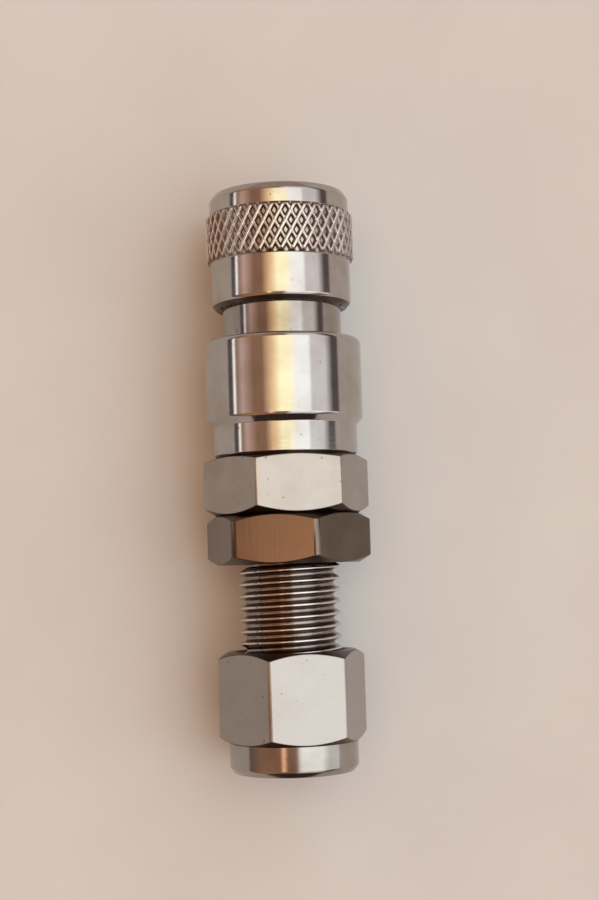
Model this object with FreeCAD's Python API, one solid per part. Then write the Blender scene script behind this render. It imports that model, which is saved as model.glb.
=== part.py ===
"""Quick connect coupling half for a bulkhead: ball-lock socket with shut-off valve, tube fitting below.

Millimetres. The coupling is turned about its own axis, which lies along +Y with the socket mouth at
the +Y end. Stations along the axis count from the panel seat, the lower face of the adapter hexagon.
At the end everything is moved so that the coupling lies on z = 0, centred on the origin.
"""

import FreeCAD
import Part

import math
import os

from FreeCAD import Vector

# Fits, each a gap in radius or along the axis
thread_clearance = 0.06
slide_clearance = 0.10
seal_clearance = 0.03
spring_clearance = 0.135
ball_clearance = 0.05
land_clearance = 0.19
ferrule_clearance = 0.05
tube_clearance = 0.075

# Socket and nose of the housing
socket_diameter = 8.0
mouth_relief = 0.2
mouth_chamfer = 0.5
nose_wall = 1.6
nose_lip = 1.15

# Locking balls
ball_diameter = 2.381
ball_count = 6
ball_stand = 0.05
ball_lip = 0.15
ball_to_ring = 1.6
relief_below_balls = 1.4

# Seal for the inserted stem
stem_seal_section = 1.5
stem_seal_squeeze = 0.12
stem_groove_width = 1.9
stem_groove_above_seat = 1.54
stem_groove_wall = 0.9

# Valve seat, barrel and collar of the housing
seat_overlap = 0.5
valve_flow_gap = 0.7
barrel_length = 8.76
barrel_round = 0.6
barrel_step = 0.7
collar_wall = 1.24
collar_length = 3.4
collar_edge = 0.3

# Poppet, its seal and its spring
poppet_seal_section = 1.2
poppet_nose_diameter = 4.0
poppet_tip_below_groove_top = 0.15
poppet_tip_chamfer = 0.4
poppet_lip = 0.3
poppet_lip_length = 0.35
poppet_shoulder = 1.0
poppet_flange_length = 2.0
poppet_stub_length = 2.4
poppet_notch_width = 3.2
poppet_notch_depth = 1.1
poppet_notch_count = 4
poppet_travel = 3.0
poppet_end_gap = 1.75
poppet_spring_wire = 0.6
poppet_spring_turns = 6.5

# Sleeve, its spring and its retaining ring
sleeve_wall = 0.97
sleeve_travel = 2.4
sleeve_end_gap = 1.14
sleeve_overhang = 0.5
sleeve_front_edge = 0.45
sleeve_front_bevel = 0.75
sleeve_rear_edge = 0.55
sleeve_countersink = 0.4
sleeve_rim = 2.25
land_length = 1.75
land_past_ball = 0.1
sleeve_spring_wire = 0.65
sleeve_spring_length = 5.2
sleeve_spring_turns = 3.5
spring_grinding = 0.2
ring_thickness = 0.6
ring_width = 1.3
ring_groove_depth = 0.35
ring_catch = 0.15
ring_gap = 2.2

# Knurl of the sleeve
knurl_teeth = 42
knurl_angle = 30.0
knurl_length = 5.5
knurl_height = 0.42
knurl_floor = 0.06
knurl_bevel = 0.4
knurl_turn = -3.0
knurl_lift = 0.15

# Adapter: hexagon, spigot in the housing, bulkhead stud with tube-fitting end
adapter_flats = 15.875
adapter_hex_length = 6.25
adapter_turn = 9.8
adapter_corner_round = 0.3
spigot_step = 1.4
spring_pocket_step = 1.0
spring_pocket_depth = 3.4
adapter_seal_section = 0.95
adapter_seal_seat = 1.2
flow_diameter = 4.8
tube_diameter = 6.35
tube_depth = 8.7
stud_wall = 2.3
stud_length = 21.15
stud_end_chamfer = 0.6
stud_undercut = 1.9
ferrule_seat_widening = 0.95
ferrule_seat_depth = 2.4

# Thread of the stud, its flanks at 60 degrees to each other
thread_pitch = 1.27
thread_turn = 110.0
thread_runout = 0.1

# Hexagon ends
hex_face_step = 0.20
hex_chamfer = 30.0
adapter_top_chamfer = 18.0
nut_thread_chamfer = 0.5

# Jam nut
jam_nut_flats = 15.875
jam_nut_length = 5.35
jam_nut_turn = -9.8
jam_nut_corner_round = 0.75

# Ferrules
ferrule_nose_gap = 0.75
front_ferrule_length = 3.6
front_ferrule_rim = 0.5
ferrule_hook = 0.8
back_ferrule_flange = 1.2
back_ferrule_rim = 0.3

# Tube nut
tube_nut_flats = 14.2875
tube_nut_turn = 13.5
tube_nut_corner_round = 0.45
tube_nut_hex_length = 9.7
tube_nut_collar_diameter = 13.95
tube_nut_collar_length = 3.2
tube_nut_collar_edge = 0.45
tube_nut_collar_bevel = 0.6
tube_nut_end_wall = 3.25
tube_nut_bore_chamfer = 0.3

# Radii from the socket outwards
socket_radius = socket_diameter / 2
mouth_radius = socket_radius + mouth_relief
nose_radius = socket_radius + nose_wall
ball_radius = ball_diameter / 2
ball_orbit = nose_radius + ball_stand - ball_radius
land_radius = nose_radius + land_clearance
sleeve_spring_mean = nose_radius + spring_clearance + sleeve_spring_wire / 2
neck_radius = nose_radius + sleeve_spring_wire + 2 * spring_clearance
sleeve_bore = neck_radius + slide_clearance
ring_groove_radius = nose_radius - ring_groove_depth
ring_inner = ring_groove_radius + seal_clearance
ring_outer = ring_inner + ring_width
stop_radius = ring_outer - ring_catch
recess_radius = ring_outer + ring_catch
sleeve_radius = recess_radius + sleeve_wall
knurl_radius = sleeve_radius + knurl_height
stem_seal_mean = socket_radius - stem_seal_squeeze + stem_seal_section / 2
stem_groove_radius = stem_seal_mean + stem_seal_section / 2 + seal_clearance

# Radii of the valve and of the pieces round it
poppet_seal_mean = socket_radius + seat_overlap - poppet_seal_section / 2
poppet_groove_radius = poppet_seal_mean - poppet_seal_section / 2 - seal_clearance
chamber_radius = socket_radius + seat_overlap + valve_flow_gap
spring_pocket_radius = chamber_radius - spring_pocket_step
poppet_spring_mean = spring_pocket_radius - spring_clearance - poppet_spring_wire / 2
spigot_radius = chamber_radius + spigot_step
spigot_bore = spigot_radius + thread_clearance
adapter_seal_bed = spigot_bore - adapter_seal_section - seal_clearance
collar_radius = spigot_bore + collar_wall
barrel_radius = collar_radius + barrel_step

# Radii of the stud and of the tube fitting
tube_radius = tube_diameter / 2 + tube_clearance
stud_radius = tube_radius + stud_wall
thread_crest = thread_pitch / 8
thread_depth = 0.575 * thread_pitch
thread_root = stud_radius - thread_depth
undercut_radius = thread_root - thread_runout
nut_bore = stud_radius + thread_clearance

# Stations from the panel seat upwards
collar_top = adapter_hex_length + collar_length
barrel_bottom = collar_top + barrel_step
shoulder = barrel_bottom + barrel_length
seat_top = shoulder + chamber_radius - socket_radius
stem_groove_bottom = seat_top + stem_groove_above_seat
stem_groove_top = stem_groove_bottom + stem_groove_width
neck_top = stem_groove_top + stem_groove_wall
land_bottom = neck_top + sleeve_spring_length
land_top = land_bottom + land_length
ramp_top = land_top + stop_radius - land_radius
ball_station = land_top - land_past_ball
ring_bottom = ball_station + ball_to_ring
ring_top = ring_bottom + ring_thickness
nose_top = ring_top + nose_lip
sleeve_top = nose_top + sleeve_overhang
sleeve_bottom = shoulder + sleeve_end_gap + sleeve_travel
knurl_top = sleeve_top - sleeve_rim
knurl_bottom = knurl_top - knurl_length

# Stations of the valve; its seal stands just clear of the 45 degree seat
seal_reach = (poppet_seal_section / 2 + seal_clearance) * math.sqrt(2)
poppet_seal_station = seat_top + socket_radius - poppet_seal_mean - seal_reach
flange_top = poppet_seal_station - poppet_seal_section / 2 - seal_clearance
flange_bottom = flange_top - poppet_flange_length
spigot_top = flange_bottom - poppet_travel - poppet_end_gap
pocket_floor = spigot_top - spring_pocket_depth

# Stations from the panel seat downwards
stud_end = -stud_length
tube_stop = stud_end + tube_depth
ferrule_nose = stud_end + ferrule_seat_depth - ferrule_nose_gap
front_ferrule_back = ferrule_nose - front_ferrule_length
back_ferrule_top = front_ferrule_back - ferrule_clearance
back_ferrule_bottom = back_ferrule_top - back_ferrule_flange
nut_floor = back_ferrule_bottom - ferrule_clearance
tube_nut_bottom = nut_floor - tube_nut_end_wall
tube_nut_hex_bottom = tube_nut_bottom + tube_nut_collar_length
tube_nut_top = tube_nut_hex_bottom + tube_nut_hex_length


def corner_arc(before, corner, after, radius):
    """Start, middle and end of the arc that rounds a corner between two straight sides."""
    to_before = (before - corner).normalize()
    to_after = (after - corner).normalize()
    half_angle = to_before.getAngle(to_after) / 2
    reach = radius / math.tan(half_angle)
    inwards = (to_before + to_after).normalize()
    middle = corner + inwards * (radius / math.sin(half_angle) - radius)
    return corner + to_before * reach, middle, corner + to_after * reach


def outline(corners):
    """Closed wire through (radius, station) corners; a third number rounds that corner."""
    points = [Vector(corner[0], corner[1], 0) for corner in corners]
    edges = []
    ends = []
    for index, corner in enumerate(corners):
        if len(corner) == 2:
            ends.append((points[index], points[index]))
            continue
        following = points[(index + 1) % len(points)]
        start, middle, end = corner_arc(points[index - 1], points[index], following, corner[2])
        edges.append(Part.Arc(start, middle, end).toShape())
        ends.append((start, end))
    for index, (_, leaving) in enumerate(ends):
        arriving = ends[(index + 1) % len(ends)][0]
        edges.append(Part.LineSegment(leaving, arriving).toShape())
    return Part.Wire(Part.__sortEdges__(edges))


def turned(corners):
    """Solid turned about the coupling axis from a closed (radius, station) outline."""
    return Part.Face(outline(corners)).revolve(Vector(0, 0, 0), Vector(0, 1, 0), 360)


def round_ring(section, mean_radius, station):
    """Ring of round section about the axis, as an O-ring is."""
    return Part.makeTorus(mean_radius, section / 2, Vector(0, station, 0), Vector(0, 1, 0))


def around_axis(shape, angle):
    """Copy of a shape turned about the coupling axis."""
    copy = shape.copy()
    copy.rotate(Vector(0, 0, 0), Vector(0, 1, 0), angle)
    return copy


def hexagon(flats, bottom, top, turn, corner_round, bottom_angle, top_angle):
    """Round-cornered hexagon bar, its end corners turned off; turn leans the top flat to +X."""
    corner_radius = flats / math.sqrt(3)
    corners = []
    for step in range(7):
        angle = math.radians(turn + 30 + 60 * step)
        corners.append(Vector(corner_radius * math.sin(angle), bottom, corner_radius * math.cos(angle)))
    bar = Part.Face(Part.makePolygon(corners)).extrude(Vector(0, top - bottom, 0))
    long_edges = [edge for edge in bar.Edges if abs(edge.Curve.Direction.y) > 0.5]
    bar = bar.makeFillet(corner_round, long_edges)
    face_radius = flats / 2 - hex_face_step
    turned_off = corner_radius - face_radius
    bottom_drop = turned_off * math.tan(math.radians(bottom_angle))
    top_drop = turned_off * math.tan(math.radians(top_angle))
    ends = turned([
        (0, bottom),
        (face_radius, bottom),
        (corner_radius, bottom + bottom_drop),
        (corner_radius, top - top_drop),
        (face_radius, top),
        (0, top),
    ])
    return bar.common(ends)


def lowest_corner(flats, turn, corner_round):
    """How far below the axis the lowest rounded corner of a turned hexagon lies."""
    round_middle = (flats - 2 * corner_round) / math.sqrt(3)
    return round_middle * math.cos(math.radians(30 - abs(turn))) + corner_round


def coil(wire, mean_radius, bottom, top, turns):
    """Compression spring between two stations, wound a little longer and its ends ground flat."""
    length = top - bottom
    start = wire / 2 - spring_grinding
    wound = length - 2 * start
    path = Part.Wire(Part.makeHelix(wound / turns, wound, mean_radius))
    section = Part.Wire(Part.makeCircle(wire / 2, Vector(mean_radius, 0, 0), Vector(0, 1, 0)))
    winding = path.makePipeShell([section], True, True)
    winding.translate(Vector(0, 0, start))
    spring = winding.common(Part.makeCylinder(mean_radius + wire, length))
    spring.rotate(Vector(0, 0, 0), Vector(1, 0, 0), -90)
    spring.translate(Vector(0, bottom, 0))
    return spring


def ball_angles():
    """Angles round the axis at which the locking balls sit."""
    return [360 / ball_count * (step + 0.5) for step in range(ball_count)]


def locking_ball(angle):
    """One ball in its hole, held inwards by the land of the sleeve."""
    return around_axis(Part.makeSphere(ball_radius, Vector(0, ball_station, ball_orbit)), angle)


def ball_hole():
    """Radial hole for one ball, narrowed at the socket so that the ball can't fall in."""
    hole_radius = ball_radius + ball_clearance
    lip_radius = math.sqrt(ball_radius ** 2 - (ball_orbit - mouth_radius) ** 2) + ball_clearance / 2
    outside = nose_radius + ball_radius
    profile = Part.makePolygon([
        Vector(0, ball_station, 0),
        Vector(lip_radius, ball_station, 0),
        Vector(lip_radius, ball_station, mouth_radius),
        Vector(hole_radius, ball_station, mouth_radius + ball_lip),
        Vector(hole_radius, ball_station, outside),
        Vector(0, ball_station, outside),
        Vector(0, ball_station, 0),
    ])
    return Part.Face(profile).revolve(Vector(0, ball_station, 0), Vector(0, 0, 1), 360)


def housing():
    """Turned body: collar on the adapter, barrel round the valve, neck and ball-carrying nose."""
    body = turned([
        (spigot_bore, adapter_hex_length),
        (collar_radius - collar_edge, adapter_hex_length),
        (collar_radius, adapter_hex_length + collar_edge),
        (collar_radius, collar_top),
        (barrel_radius, barrel_bottom),
        (barrel_radius, shoulder, barrel_round),
        (neck_radius, shoulder),
        (neck_radius, neck_top),
        (nose_radius, neck_top),
        (nose_radius, ring_bottom - seal_clearance),
        (ring_groove_radius, ring_bottom - seal_clearance),
        (ring_groove_radius, ring_top + seal_clearance),
        (nose_radius, ring_top + seal_clearance),
        (nose_radius, nose_top - mouth_chamfer),
        (nose_radius - mouth_chamfer, nose_top),
        (mouth_radius + mouth_chamfer, nose_top),
        (mouth_radius, nose_top - mouth_chamfer),
        (mouth_radius, ball_station - relief_below_balls),
        (socket_radius, ball_station - relief_below_balls - mouth_relief),
        (socket_radius, stem_groove_top),
        (stem_groove_radius, stem_groove_top),
        (stem_groove_radius, stem_groove_bottom),
        (socket_radius, stem_groove_bottom),
        (socket_radius, seat_top),
        (chamber_radius, shoulder),
        (chamber_radius, spigot_top + thread_clearance),
        (spigot_bore, spigot_top + thread_clearance),
    ])
    hole = ball_hole()
    for angle in ball_angles():
        body = body.cut(around_axis(hole, angle))
    return body


def knurl():
    """Ring of four-sided pits between two families of crossing ridges, bevelled at both ends."""
    half_pitch = math.pi * knurl_radius / knurl_teeth
    half_rise = half_pitch / math.tan(math.radians(knurl_angle))
    columns = 2 * knurl_teeth
    rows = 2 * math.ceil(knurl_length / half_rise / 2 - 0.5) + 1
    start = (knurl_bottom + knurl_top - rows * half_rise) / 2 + knurl_lift
    grid = []
    for row in range(rows + 1):
        ring = []
        for column in range(columns):
            on_ridge = (row + column) % 2 == 0
            radius = knurl_radius if on_ridge else sleeve_radius + knurl_floor
            angle = math.radians(knurl_turn + 360 / columns * column)
            ring.append(Vector(radius * math.sin(angle), start + row * half_rise, radius * math.cos(angle)))
        grid.append(ring)
    faces = [Part.Face(Part.makePolygon(ring + ring[:1])) for ring in (grid[0], grid[-1])]
    for row in range(rows):
        for column in range(columns):
            beside = (column + 1) % columns
            cell = [grid[row][column], grid[row][beside], grid[row + 1][beside], grid[row + 1][column]]
            ridge = (row + column) % 2
            one, two, three, four = cell[ridge:] + cell[:ridge]
            faces.append(Part.Face(Part.makePolygon([one, two, three, one])))
            faces.append(Part.Face(Part.makePolygon([one, three, four, one])))
    shell = Part.makeShell(faces)
    shell.sewShape()
    inside = sleeve_radius - sleeve_wall / 2
    over_ridges = knurl_radius + knurl_floor
    bevel = knurl_bevel * (over_ridges - sleeve_radius) / knurl_height
    band = turned([
        (inside, knurl_bottom),
        (sleeve_radius, knurl_bottom),
        (over_ridges, knurl_bottom + bevel),
        (over_ridges, knurl_top - bevel),
        (sleeve_radius, knurl_top),
        (inside, knurl_top),
    ])
    return Part.makeSolid(shell).common(band)


def sleeve():
    """Locking sleeve: knurled grip outside, land that holds the balls in, recess that frees them."""
    body = turned([
        (sleeve_bore, sleeve_bottom + sleeve_countersink),
        (sleeve_bore + sleeve_countersink, sleeve_bottom),
        (sleeve_radius - sleeve_rear_edge, sleeve_bottom),
        (sleeve_radius, sleeve_bottom + sleeve_rear_edge),
        (sleeve_radius, sleeve_top - sleeve_front_bevel),
        (sleeve_radius - sleeve_front_edge, sleeve_top),
        (recess_radius, sleeve_top),
        (recess_radius, ring_bottom),
        (stop_radius, ring_bottom),
        (stop_radius, ramp_top),
        (land_radius, land_top),
        (land_radius, land_bottom),
        (sleeve_bore, land_bottom),
    ])
    return body.fuse(knurl())


def sleeve_retaining_ring():
    """Split ring in the groove of the nose; the sleeve's step rests against it."""
    ring = turned([
        (ring_inner, ring_bottom),
        (ring_outer, ring_bottom),
        (ring_outer, ring_top),
        (ring_inner, ring_top),
    ])
    slot = Part.makeBox(ring_gap, ring_thickness, ring_outer, Vector(-ring_gap / 2, ring_bottom, 0))
    return ring.cut(slot)


def poppet():
    """Valve: nose that the stem pushes, head with the seal's groove, notched flange that guides it."""
    tip = stem_groove_top - poppet_tip_below_groove_top
    nose = poppet_nose_diameter / 2
    lip = poppet_groove_radius + poppet_lip
    lip_bottom = poppet_seal_station + poppet_seal_section / 2 + seal_clearance
    lip_top = lip_bottom + poppet_lip_length
    flange_radius = chamber_radius - slide_clearance
    stub_radius = poppet_spring_mean - poppet_spring_wire / 2 - spring_clearance
    stub_end = flange_bottom - poppet_stub_length
    body = turned([
        (0, tip),
        (nose - poppet_tip_chamfer, tip),
        (nose, tip - poppet_tip_chamfer),
        (nose, lip_top + poppet_shoulder),
        (lip, lip_top),
        (lip, lip_bottom),
        (poppet_groove_radius, lip_bottom),
        (poppet_groove_radius, flange_top),
        (flange_radius, flange_top),
        (flange_radius, flange_bottom),
        (stub_radius, flange_bottom),
        (stub_radius, stub_end),
        (0, stub_end),
    ])
    notch_corner = Vector(-poppet_notch_width / 2, flange_bottom, flange_radius - poppet_notch_depth)
    notch = Part.makeBox(poppet_notch_width, poppet_flange_length, chamber_radius, notch_corner)
    for step in range(poppet_notch_count):
        body = body.cut(around_axis(notch, 360 / poppet_notch_count * step))
    return body


def thread_groove():
    """Groove of the right-hand stud thread: a notch carried up a helix, from below the stud's end into
    its undercut."""
    flank = math.tan(math.radians(30))
    root_half = (thread_pitch - thread_crest) / 2 - thread_depth * flank
    mouth_half = (thread_pitch - thread_crest) / 2 + thread_runout * flank
    mouth = stud_radius + thread_runout
    section = Part.makePolygon([
        Vector(thread_root, 0, -root_half),
        Vector(mouth, 0, -mouth_half),
        Vector(mouth, 0, mouth_half),
        Vector(thread_root, 0, root_half),
        Vector(thread_root, 0, -root_half),
    ])
    bottom = stud_end - thread_pitch
    length = stud_length + thread_pitch - mouth_half - thread_runout
    path = Part.Wire(Part.makeLongHelix(thread_pitch, length, stud_radius, 0))
    groove = path.makePipeShell([section], True, True)
    groove.rotate(Vector(0, 0, 0), Vector(1, 0, 0), -90)
    groove.translate(Vector(0, bottom, 0))
    return around_axis(groove, thread_turn)


def adapter():
    """Hexagon with its spigot above and its threaded bulkhead stud below, bored through for the flow."""
    hex_part = hexagon(
        adapter_flats, 0, adapter_hex_length, adapter_turn, adapter_corner_round,
        hex_chamfer, adapter_top_chamfer,
    )
    stem = turned([
        (0, stud_end),
        (stud_radius - stud_end_chamfer, stud_end),
        (stud_radius, stud_end + stud_end_chamfer),
        (stud_radius, -stud_undercut),
        (undercut_radius, stud_radius - undercut_radius - stud_undercut),
        (undercut_radius, adapter_hex_length),
        (spigot_radius, adapter_hex_length),
        (spigot_radius, spigot_top - adapter_seal_seat),
        (adapter_seal_bed, spigot_top - adapter_seal_seat),
        (adapter_seal_bed, spigot_top),
        (0, spigot_top),
    ])
    bore = turned([
        (0, stud_end),
        (tube_radius + ferrule_seat_widening, stud_end),
        (tube_radius, stud_end + ferrule_seat_depth),
        (tube_radius, tube_stop),
        (flow_diameter / 2, tube_stop),
        (flow_diameter / 2, pocket_floor),
        (spring_pocket_radius, pocket_floor),
        (spring_pocket_radius, spigot_top),
        (0, spigot_top),
    ])
    return hex_part.fuse(stem).removeSplitter().cut(bore).cut(thread_groove())


def jam_nut():
    """Bulkhead nut run up against the adapter hexagon."""
    nut = hexagon(
        jam_nut_flats, -jam_nut_length, 0, jam_nut_turn, jam_nut_corner_round, hex_chamfer, hex_chamfer
    )
    bore = turned([
        (0, -jam_nut_length),
        (nut_bore + nut_thread_chamfer, -jam_nut_length),
        (nut_bore, -jam_nut_length + nut_thread_chamfer),
        (nut_bore, -nut_thread_chamfer),
        (nut_bore + nut_thread_chamfer, 0),
        (0, 0),
    ])
    return nut.cut(bore)


def front_ferrule():
    """Cone that seals in the stud's mouth, hollowed behind for the back ferrule."""
    slope = ferrule_seat_widening / ferrule_seat_depth
    nose_radius_here = tube_radius + slope * ferrule_nose_gap - ferrule_clearance
    cone_length = front_ferrule_length - front_ferrule_rim
    rim_radius = nose_radius_here + slope * cone_length
    return turned([
        (tube_radius, ferrule_nose),
        (nose_radius_here, ferrule_nose),
        (rim_radius, ferrule_nose - cone_length),
        (rim_radius, front_ferrule_back),
        (tube_radius + ferrule_hook, front_ferrule_back),
        (tube_radius, front_ferrule_back + ferrule_hook),
    ])


def back_ferrule():
    """Ring behind the front ferrule, with a nose that reaches under it."""
    hook = ferrule_hook - ferrule_clearance
    flange_radius = tube_radius + ferrule_hook + back_ferrule_rim
    return turned([
        (tube_radius, back_ferrule_top + hook),
        (tube_radius + hook, back_ferrule_top),
        (flange_radius, back_ferrule_top),
        (flange_radius, back_ferrule_bottom + back_ferrule_rim),
        (flange_radius - back_ferrule_rim, back_ferrule_bottom),
        (tube_radius, back_ferrule_bottom),
    ])


def tube_nut():
    """Compression nut: hexagon, round collar, thread bore and the floor behind the ferrules."""
    hex_part = hexagon(
        tube_nut_flats, tube_nut_hex_bottom, tube_nut_top, tube_nut_turn, tube_nut_corner_round,
        hex_chamfer, hex_chamfer,
    )
    collar = turned([
        (0, tube_nut_bottom),
        (tube_nut_collar_diameter / 2 - tube_nut_collar_edge, tube_nut_bottom),
        (tube_nut_collar_diameter / 2, tube_nut_bottom + tube_nut_collar_bevel),
        (tube_nut_collar_diameter / 2, tube_nut_hex_bottom + hex_face_step),
        (0, tube_nut_hex_bottom + hex_face_step),
    ])
    bore = turned([
        (0, tube_nut_bottom),
        (tube_radius + tube_nut_bore_chamfer, tube_nut_bottom),
        (tube_radius, tube_nut_bottom + tube_nut_bore_chamfer),
        (tube_radius, nut_floor),
        (nut_bore, nut_floor),
        (nut_bore, tube_nut_top - nut_thread_chamfer),
        (nut_bore + nut_thread_chamfer, tube_nut_top),
        (0, tube_nut_top),
    ])
    return hex_part.fuse(collar).removeSplitter().cut(bore)


# Every piece, still about the coupling axis
pieces = {
    "housing": housing(),
    "adapter": adapter(),
    "sleeve": sleeve(),
    "sleeve_spring": coil(
        sleeve_spring_wire, sleeve_spring_mean, neck_top, land_bottom, sleeve_spring_turns
    ),
    "sleeve_retaining_ring": sleeve_retaining_ring(),
    "stem_seal": round_ring(
        stem_seal_section, stem_seal_mean, (stem_groove_bottom + stem_groove_top) / 2
    ),
    "poppet": poppet(),
    "poppet_seal": round_ring(poppet_seal_section, poppet_seal_mean, poppet_seal_station),
    "poppet_spring": coil(
        poppet_spring_wire, poppet_spring_mean, pocket_floor, flange_bottom, poppet_spring_turns
    ),
    "adapter_seal": round_ring(
        adapter_seal_section,
        (adapter_seal_bed + spigot_bore) / 2,
        spigot_top - adapter_seal_seat / 2,
    ),
    "jam_nut": jam_nut(),
    "tube_nut": tube_nut(),
    "front_ferrule": front_ferrule(),
    "back_ferrule": back_ferrule(),
}
for number, angle in enumerate(ball_angles(), start=1):
    pieces[f"locking_ball_{number}"] = locking_ball(angle)

# Lying on its widest pieces, centred along its length
axis_height = max(
    barrel_radius,
    knurl_radius,
    lowest_corner(adapter_flats, adapter_turn, adapter_corner_round),
    lowest_corner(jam_nut_flats, jam_nut_turn, jam_nut_corner_round),
    lowest_corner(tube_nut_flats, tube_nut_turn, tube_nut_corner_round),
)
middle = (sleeve_top + tube_nut_bottom) / 2
os.makedirs("parts", exist_ok=True)
for name, shape in pieces.items():
    shape.translate(Vector(0, -middle, axis_height))
    shape.exportStep(f"parts/{name}.step")
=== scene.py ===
import math

import bmesh
import bpy
import numpy as np
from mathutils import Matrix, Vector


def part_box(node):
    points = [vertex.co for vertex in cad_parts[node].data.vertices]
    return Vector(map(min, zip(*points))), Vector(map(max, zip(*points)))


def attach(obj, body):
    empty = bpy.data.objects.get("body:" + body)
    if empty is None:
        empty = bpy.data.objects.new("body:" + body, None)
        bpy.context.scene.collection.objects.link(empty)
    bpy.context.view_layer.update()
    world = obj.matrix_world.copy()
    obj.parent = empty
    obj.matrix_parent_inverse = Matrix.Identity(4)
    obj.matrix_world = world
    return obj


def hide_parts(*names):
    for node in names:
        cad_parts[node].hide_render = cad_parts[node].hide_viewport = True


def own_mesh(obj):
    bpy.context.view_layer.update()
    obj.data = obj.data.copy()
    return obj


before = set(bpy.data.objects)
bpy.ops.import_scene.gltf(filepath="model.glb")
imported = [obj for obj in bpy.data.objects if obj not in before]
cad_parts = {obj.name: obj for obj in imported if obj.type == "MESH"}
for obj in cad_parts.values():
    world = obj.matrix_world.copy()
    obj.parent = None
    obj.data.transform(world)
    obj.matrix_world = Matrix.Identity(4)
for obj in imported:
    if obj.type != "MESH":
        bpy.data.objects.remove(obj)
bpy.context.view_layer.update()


# Adapter: stainless hexagon bar, turned down to a spigot that screws into the housing and to a long
# stud with a cut thread of 20 turns to the inch. The flats keep the satin skin of the drawn bar, and
# the thread has uneven brown grime, with painted shade on its flanks and a painted highlight on its
# crests. Its turned ends and chamfers are painted dark as shade. Sizes are millimetres, stations count
# from the panel seat.
axis_height = 500 * (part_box("sleeve")[0][2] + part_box("sleeve")[1][2])
panel_seat = 1000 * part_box("jam_nut")[1][1]
adapter_flats = 15.875
adapter_turn = math.radians(9.8)
adapter_corner = 0.30
hex_chamfer = 30
hex_top_chamfer = 18
hex_face_step = 0.20
hex_face_round = 0.06
hex_edge_round = 0.18
spigot_radius = 6.60
seal_seat = 1.20
seal_bed = 5.68
pocket_radius = 4.20
pocket_depth = 3.40
flow_radius = 2.40
tube_radius = 3.25
tube_depth = 8.70
mouth_depth = 2.40
mouth_radius = 4.20
stud_radius = 5.55
stud_lead_in = 0.60
thread_pitch = 1.27
thread_root = 4.82
thread_slope = [(0, 1), (0.055, 1), (0.085, 0.95), (0.210, 0.52), (0.335, 0.09), (0.400, 0.01), (0.5, 0)]
thread_start = 0.05
thread_stop = -0.35
groove_start = math.radians(200)
undercut_radius = 4.72
undercut_length = 1.90
arc_rows = 5


def stations(node):
    """Lowest and highest station of a CAD node along the coupling axis, in millimetres."""
    low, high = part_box(node)
    return 1000 * low[1] - panel_seat, 1000 * high[1] - panel_seat


def linear(hex_colour):
    """Linear red, green, blue and alpha of an sRGB hex colour."""
    srgb = np.array([int(hex_colour[i:i + 2], 16) for i in (1, 3, 5)]) / 255
    rgb = np.where(srgb <= 0.04045, srgb / 12.92, ((srgb + 0.055) / 1.055) ** 2.4)
    return (*rgb.tolist(), 1.0)


def add(owner, kind, inputs=None, stops=(), **settings):
    """Adds one shader node with its settings, its colour stops and its inputs. An input is a value, or
    the node whose first output in use feeds it, or the socket that does."""
    node = owner.node_tree.nodes.new(kind)
    for name, value in settings.items():
        setattr(node, name, value)
    for number, (place, colour) in enumerate(stops):
        elements = node.color_ramp.elements
        element = elements[number] if number < len(elements) else elements.new(1.0)
        element.position = place
        element.color = linear(colour)
    for name, value in (inputs or {}).items():
        if isinstance(value, bpy.types.Node):
            value = next(socket for socket in value.outputs if socket.enabled)
        if isinstance(value, bpy.types.NodeSocket):
            owner.node_tree.links.new(value, node.inputs[name])
        else:
            node.inputs[name].default_value = value
    return node


def new_material(name):
    """Empty node material."""
    material = bpy.data.materials.new(name)
    material.use_nodes = True
    material.node_tree.nodes.clear()
    return material


def shade(material, inputs):
    """Gives a material its surface shader, set and fed by the inputs."""
    shader = add(material, "ShaderNodeBsdfPrincipled", inputs)
    add(material, "ShaderNodeOutputMaterial", {"Surface": shader})
    return material


def from_axis(material):
    """Place counted from the panel seat on the coupling axis, in metres, as a mapping node."""
    place = add(material, "ShaderNodeTexCoord").outputs["Object"]
    seat = (0, -panel_seat / 1000, -axis_height / 1000)
    return add(material, "ShaderNodeMapping", {"Vector": place, "Location": seat})


def axis_distance(material, place):
    """Distance of a place from the coupling axis, in millimetres."""
    flat = add(material, "ShaderNodeVectorMath", {0: place, 1: (1000, 0, 1000)}, operation="MULTIPLY")
    return add(material, "ShaderNodeVectorMath", {0: flat}, operation="LENGTH").outputs["Value"]


def rounded(corners, columns):
    """Closed outline through (radius, station, rounding) corners, each replaced by the arc that touches
    its two sides: a rational quadratic curve whose middle weight is the sine of half the inner angle.
    A radius or station may be an array with one value for each column round the axis."""
    corner = np.array([[np.broadcast_to(value, columns) for value in place[:2]] for place in corners], float)
    corner = corner.transpose(0, 2, 1)
    rounding = np.array([place[2] for place in corners], float)[:, None]
    to_before = np.roll(corner, 1, 0) - corner
    to_after = np.roll(corner, -1, 0) - corner
    long_before = np.linalg.norm(to_before, axis=2)
    long_after = np.linalg.norm(to_after, axis=2)
    to_before /= long_before[..., None]
    to_after /= long_after[..., None]
    half = np.arccos(np.clip((to_before * to_after).sum(2), -1, 1)) / 2
    reach = np.minimum(rounding / np.tan(half), 0.45 * np.minimum(long_before, long_after))[..., None]
    start = corner + to_before * reach
    end = corner + to_after * reach
    t = np.linspace(0, 1, arc_rows)[:, None, None, None]
    weight = 2 * t * (1 - t) * np.sin(half)[..., None]
    arc = ((1 - t) ** 2 * start + weight * corner + t ** 2 * end) / ((1 - t) ** 2 + weight + t ** 2)
    arc = arc.transpose(1, 0, 2, 3).reshape(-1, columns, 2)
    return arc[..., 0], arc[..., 1]


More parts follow.
